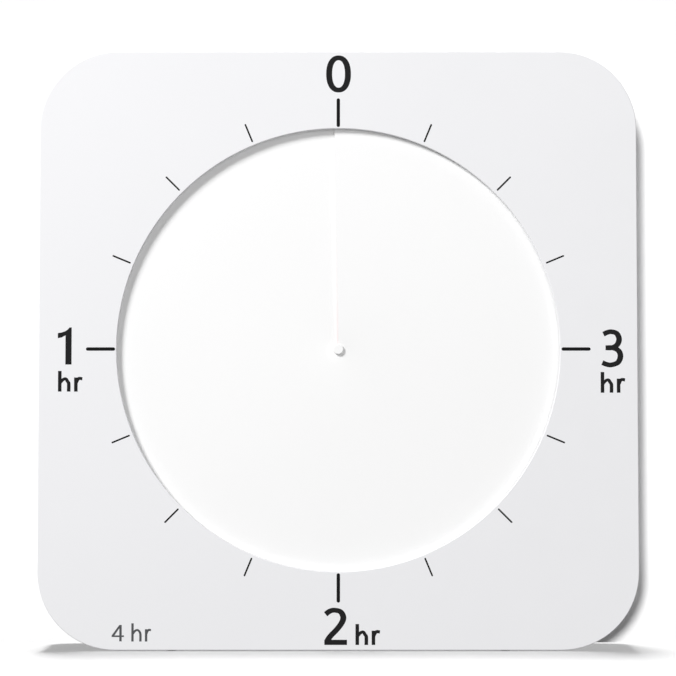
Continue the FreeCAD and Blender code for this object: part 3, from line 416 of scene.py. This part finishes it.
zero = [(oval(8.98, 13.53, 2.25), oval(4.65, 10.0, 2.2))]
one = [([(5.5, 0), (9.95, 0), (9.95, 26.8), (8.4, 26.8), (7.2, 25.3), (5.2, 24.0), (2.6, 23.1),
         (0, 22.7), (0, 19.0), (2.9, 19.6), (5.5, 21.1)], None)]
two_bow = [(0.9, 21.9), (4.0, 24.1), (7.6, 24.75), (11.7, 23.5), (13.6, 19.6), (12.3, 15.5),
           (8.7, 10.8), (4.6, 6.6), (2.5, 3.5), (2.0, 1.2)]
two = [stroked(two_bow, **PEN_TWO), rectangle(0, 0, 16.2, 3.68)]
three_top = [(1.1, 23.9), (4.0, 25.2), (7.0, 25.65), (10.7, 24.4), (12.4, 20.3), (10.8, 16.1),
             (6.9, 14.1), (2.6, 14.1)]
three_foot = [(2.6, 14.1), (7.4, 14.1), (11.7, 12.2), (13.3, 8.2), (11.5, 3.6), (6.7, 1.75),
              (3.1, 2.2), (0.2, 3.4)]
three = [stroked(three_top, **PEN), stroked(three_foot, **PEN)]

NUMERAL_PLACES = {
    "number_0": (zero, 0.18, 199.8),
    "number_1": (one, -202.3, -11.2),
    "number_2": (two, -10.0, -212.15),
    "number_3": (three, 190.15, -13.2),
}
for name, (numeral, x, z) in NUMERAL_PLACES.items():
    printed(name, shifted(numeral, x, z), number_ink)


def unit_letters(height, low_height, width, stem, bar, gap, ear):
    """The letters of the hour unit, drawn from the lower left of the first."""
    arch_z = low_height - bar / 2
    lean = stem * 0.45
    arch = [(stem * 0.6, low_height * 0.62), (width * 0.36, arch_z - bar * 0.45),
            (width * 0.6, arch_z), (width - stem * 0.85, arch_z - bar * 0.9),
            (width - stem / 2, low_height * 0.55), (width - stem / 2, 0)]
    start = width + gap
    ear_line = [(start + lean, low_height * 0.56), (start + ear * 0.52, low_height * 0.9),
                (start + ear, low_height - bar * 0.52)]
    return [rectangle(0, 0, stem, height),
            stroked(arch, stem, bar),
            rectangle(start, 0, start + stem, low_height * 0.985),
            stroked(ear_line, stem, bar * 1.1)]


HOUR_UNIT = {"height": 14.9, "low_height": 10.3, "width": 9.0, "stem": 2.55, "bar": 2.05,
             "gap": 2.6, "ear": 5.95}
NOTE_UNIT = {"height": 12.98, "low_height": 8.87, "width": 7.36, "stem": 1.68, "bar": 1.4,
             "gap": 2.38, "ear": 4.33}
HOUR_UNIT_PLACES = ((-202.0, -30.7), (12.3, -212.15), (189.1, -31.5))

hour_unit = unit_letters(**HOUR_UNIT)
hour_units = [stroke for x, z in HOUR_UNIT_PLACES for stroke in shifted(hour_unit, x, z)]
printed("hour_units", hour_units, number_ink)

note_four = [
    rectangle(5.48, 0, 7.2, 11.7),
    rectangle(0.3, 3.1, 8.8, 4.25),
    ([(0, 3.1), (1.75, 3.9), (6.6, 11.0), (6.6, 11.7), (5.5, 11.7), (0, 4.2)], None),
]
range_note = shifted(note_four, -162.4, -209.6)
range_note += shifted(unit_letters(**NOTE_UNIT), -148.3, -209.7)
printed("dial_range_note", range_note, grey_ink)


# Stage: a pale floor and a pale wall close behind the timer


def plane(name, corners, finish):
    mesh = bpy.data.meshes.new(name)
    mesh.from_pydata(corners, [], [(0, 1, 2, 3)])
    mesh.materials.append(finish)
    made = new_object(name, mesh)
    return made


def stage_paint(name, see_through_back):
    """White paint; the wall lets a camera behind it look through."""
    made = Nodes(name)
    paint = made.add("ShaderNodeBsdfDiffuse", {"Color": (1.0, 1.0, 1.0, 1.0)})
    clear = made.add("ShaderNodeBsdfTransparent")
    mix = made.add("ShaderNodeMixShader")
    if see_through_back:
        camera_ray = made.add("ShaderNodeLightPath").outputs["Is Camera Ray"]
        back = made.add("ShaderNodeNewGeometry").outputs["Backfacing"]
        hidden = made.add("ShaderNodeMath", operation="MULTIPLY")
        made.tree.links.new(camera_ray, hidden.inputs[0])
        made.tree.links.new(back, hidden.inputs[1])
        made.tree.links.new(hidden.outputs[0], mix.inputs[0])
    else:
        mix.inputs[0].default_value = 0.0
    made.tree.links.new(paint.outputs["BSDF"], mix.inputs[1])
    made.tree.links.new(clear.outputs["BSDF"], mix.inputs[2])
    made.tree.links.new(mix.outputs["Shader"], made.output.inputs["Surface"])
    return made.material


REACH = 6.0
WALL_GAP = 0.0005
WALL_Y = CAD_BOX[1][1] + WALL_GAP
WALL_CORNERS = [(-REACH, WALL_Y, 0), (REACH, WALL_Y, 0), (REACH, WALL_Y, REACH),
                (-REACH, WALL_Y, REACH)]
FLOOR_CORNERS = [(-REACH, -REACH, 0), (REACH, -REACH, 0), (REACH, REACH, 0), (-REACH, REACH, 0)]

wall = plane("wall", WALL_CORNERS, stage_paint("wall_paint", True))
floor = plane("floor", FLOOR_CORNERS, stage_paint("floor_paint", False))
for still in (wall, floor):
    still.visible_shadow = False
    still.visible_diffuse = False
    still.visible_glossy = False

# Light: the timer, the wall and the floor each have their own soft lamps


def collection(name, objects):
    made = bpy.data.collections.new(name)
    for item in objects:
        made.objects.link(item)
    return made


OBJECT_PIECES = [item for item in bpy.context.scene.objects
                 if item.type in {"MESH", "CURVE"} and item not in (wall, floor)]
lit_timer = collection("lit_timer", OBJECT_PIECES)
lit_wall = collection("lit_wall", [wall])
lit_floor = collection("lit_floor", [floor])


def lamp_object(name, lamp, way, lit):
    """Put a lamp in the scene that shines along a direction on one collection."""
    made = new_object(name, lamp)
    made.rotation_euler = way.to_track_quat("-Z", "Y").to_euler()
    made.light_linking.receiver_collection = lit
    return made


def area_lamp(name, place, size, power):
    """A round soft lamp that looks at the dial and lights the timer alone."""
    lamp = bpy.data.lights.new(name, "AREA")
    lamp.shape = "DISK"
    lamp.size = size
    lamp.energy = power
    place = Vector(place)
    lamp_object(name, lamp, DIAL_CENTRE - place, lit_timer).location = place


def sun_lamp(name, way, spread, strength, lit, shadow=True):
    """A broad even light that shines along a direction."""
    lamp = bpy.data.lights.new(name, "SUN")
    lamp.angle = math.radians(spread)
    lamp.energy = strength
    lamp.use_shadow = shadow
    lamp_object(name, lamp, Vector(way), lit)


# Where each lamp stands, its width in metres and its watts
area_lamp("key_lamp", (-2.1, -2.1, 2.3), size=1.3, power=131.0)
area_lamp("front_fill", (0.8, -2.6, 0.3), size=2.4, power=26.0)
area_lamp("back_fill", (1.8, 2.4, 1.8), size=1.8, power=130.0)
sun_lamp("wall_light", (0.275, 1.0, -0.2), spread=9.0, strength=2.9, lit=lit_wall)
sun_lamp("floor_light", (0.03, -0.1, -1.0), spread=9.0, strength=1.95, lit=lit_floor)
sun_lamp("floor_fill", (0.0, 0.0, -1.0), spread=10.0, strength=0.9, lit=lit_floor, shadow=False)

# World: a white background to look at, and a faint even light on the surfaces

AMBIENT = 0.115
BACKGROUND = 1.0

world = bpy.data.worlds.new("studio")
bpy.context.scene.world = world
world.use_nodes = True
tree = world.node_tree
tree.nodes.clear()
light_path = tree.nodes.new("ShaderNodeLightPath")
seen = light_path.outputs["Is Camera Ray"]
for ray in ("Is Glossy Ray", "Is Transmission Ray"):
    either = tree.nodes.new("ShaderNodeMath")
    either.operation = "MAXIMUM"
    tree.links.new(seen, either.inputs[0])
    tree.links.new(light_path.outputs[ray], either.inputs[1])
    seen = either.outputs[0]
strength = tree.nodes.new("ShaderNodeMix")
strength.inputs["A"].default_value = AMBIENT
strength.inputs["B"].default_value = BACKGROUND
tree.links.new(seen, strength.inputs["Factor"])
back_light = tree.nodes.new("ShaderNodeBackground")
back_light.inputs["Color"].default_value = (1.0, 1.0, 1.0, 1.0)
tree.links.new(strength.outputs["Result"], back_light.inputs["Strength"])
out = tree.nodes.new("ShaderNodeOutputWorld")
tree.links.new(back_light.outputs["Background"], out.inputs["Surface"])

# Camera, square on and slightly below the dial, as in the photograph

FRAME_PIXELS = 676
PLATE_PIXELS = 599.0
CENTRE_PIXEL = (338.3, 349.0)
CAMERA_DISTANCE = 1.25
CAMERA_RISE = math.radians(2.3)
SENSOR = 36.0

camera_data = bpy.data.cameras.new("camera")
camera_data.sensor_width = SENSOR
camera_data.lens = SENSOR * PLATE_PIXELS / FRAME_PIXELS * CAMERA_DISTANCE / PLATE_SIZE
camera_data.shift_x = (FRAME_PIXELS / 2 - CENTRE_PIXEL[0]) / FRAME_PIXELS
camera_data.shift_y = (CENTRE_PIXEL[1] - FRAME_PIXELS / 2) / FRAME_PIXELS
camera = new_object("camera", camera_data)
toward = Vector((0, math.cos(CAMERA_RISE), math.sin(CAMERA_RISE)))
camera.location = DIAL_CENTRE - toward * CAMERA_DISTANCE
camera.rotation_euler = toward.to_track_quat("-Z", "Y").to_euler()
bpy.context.scene.camera = camera

bpy.context.scene.view_settings.view_transform = "Standard"
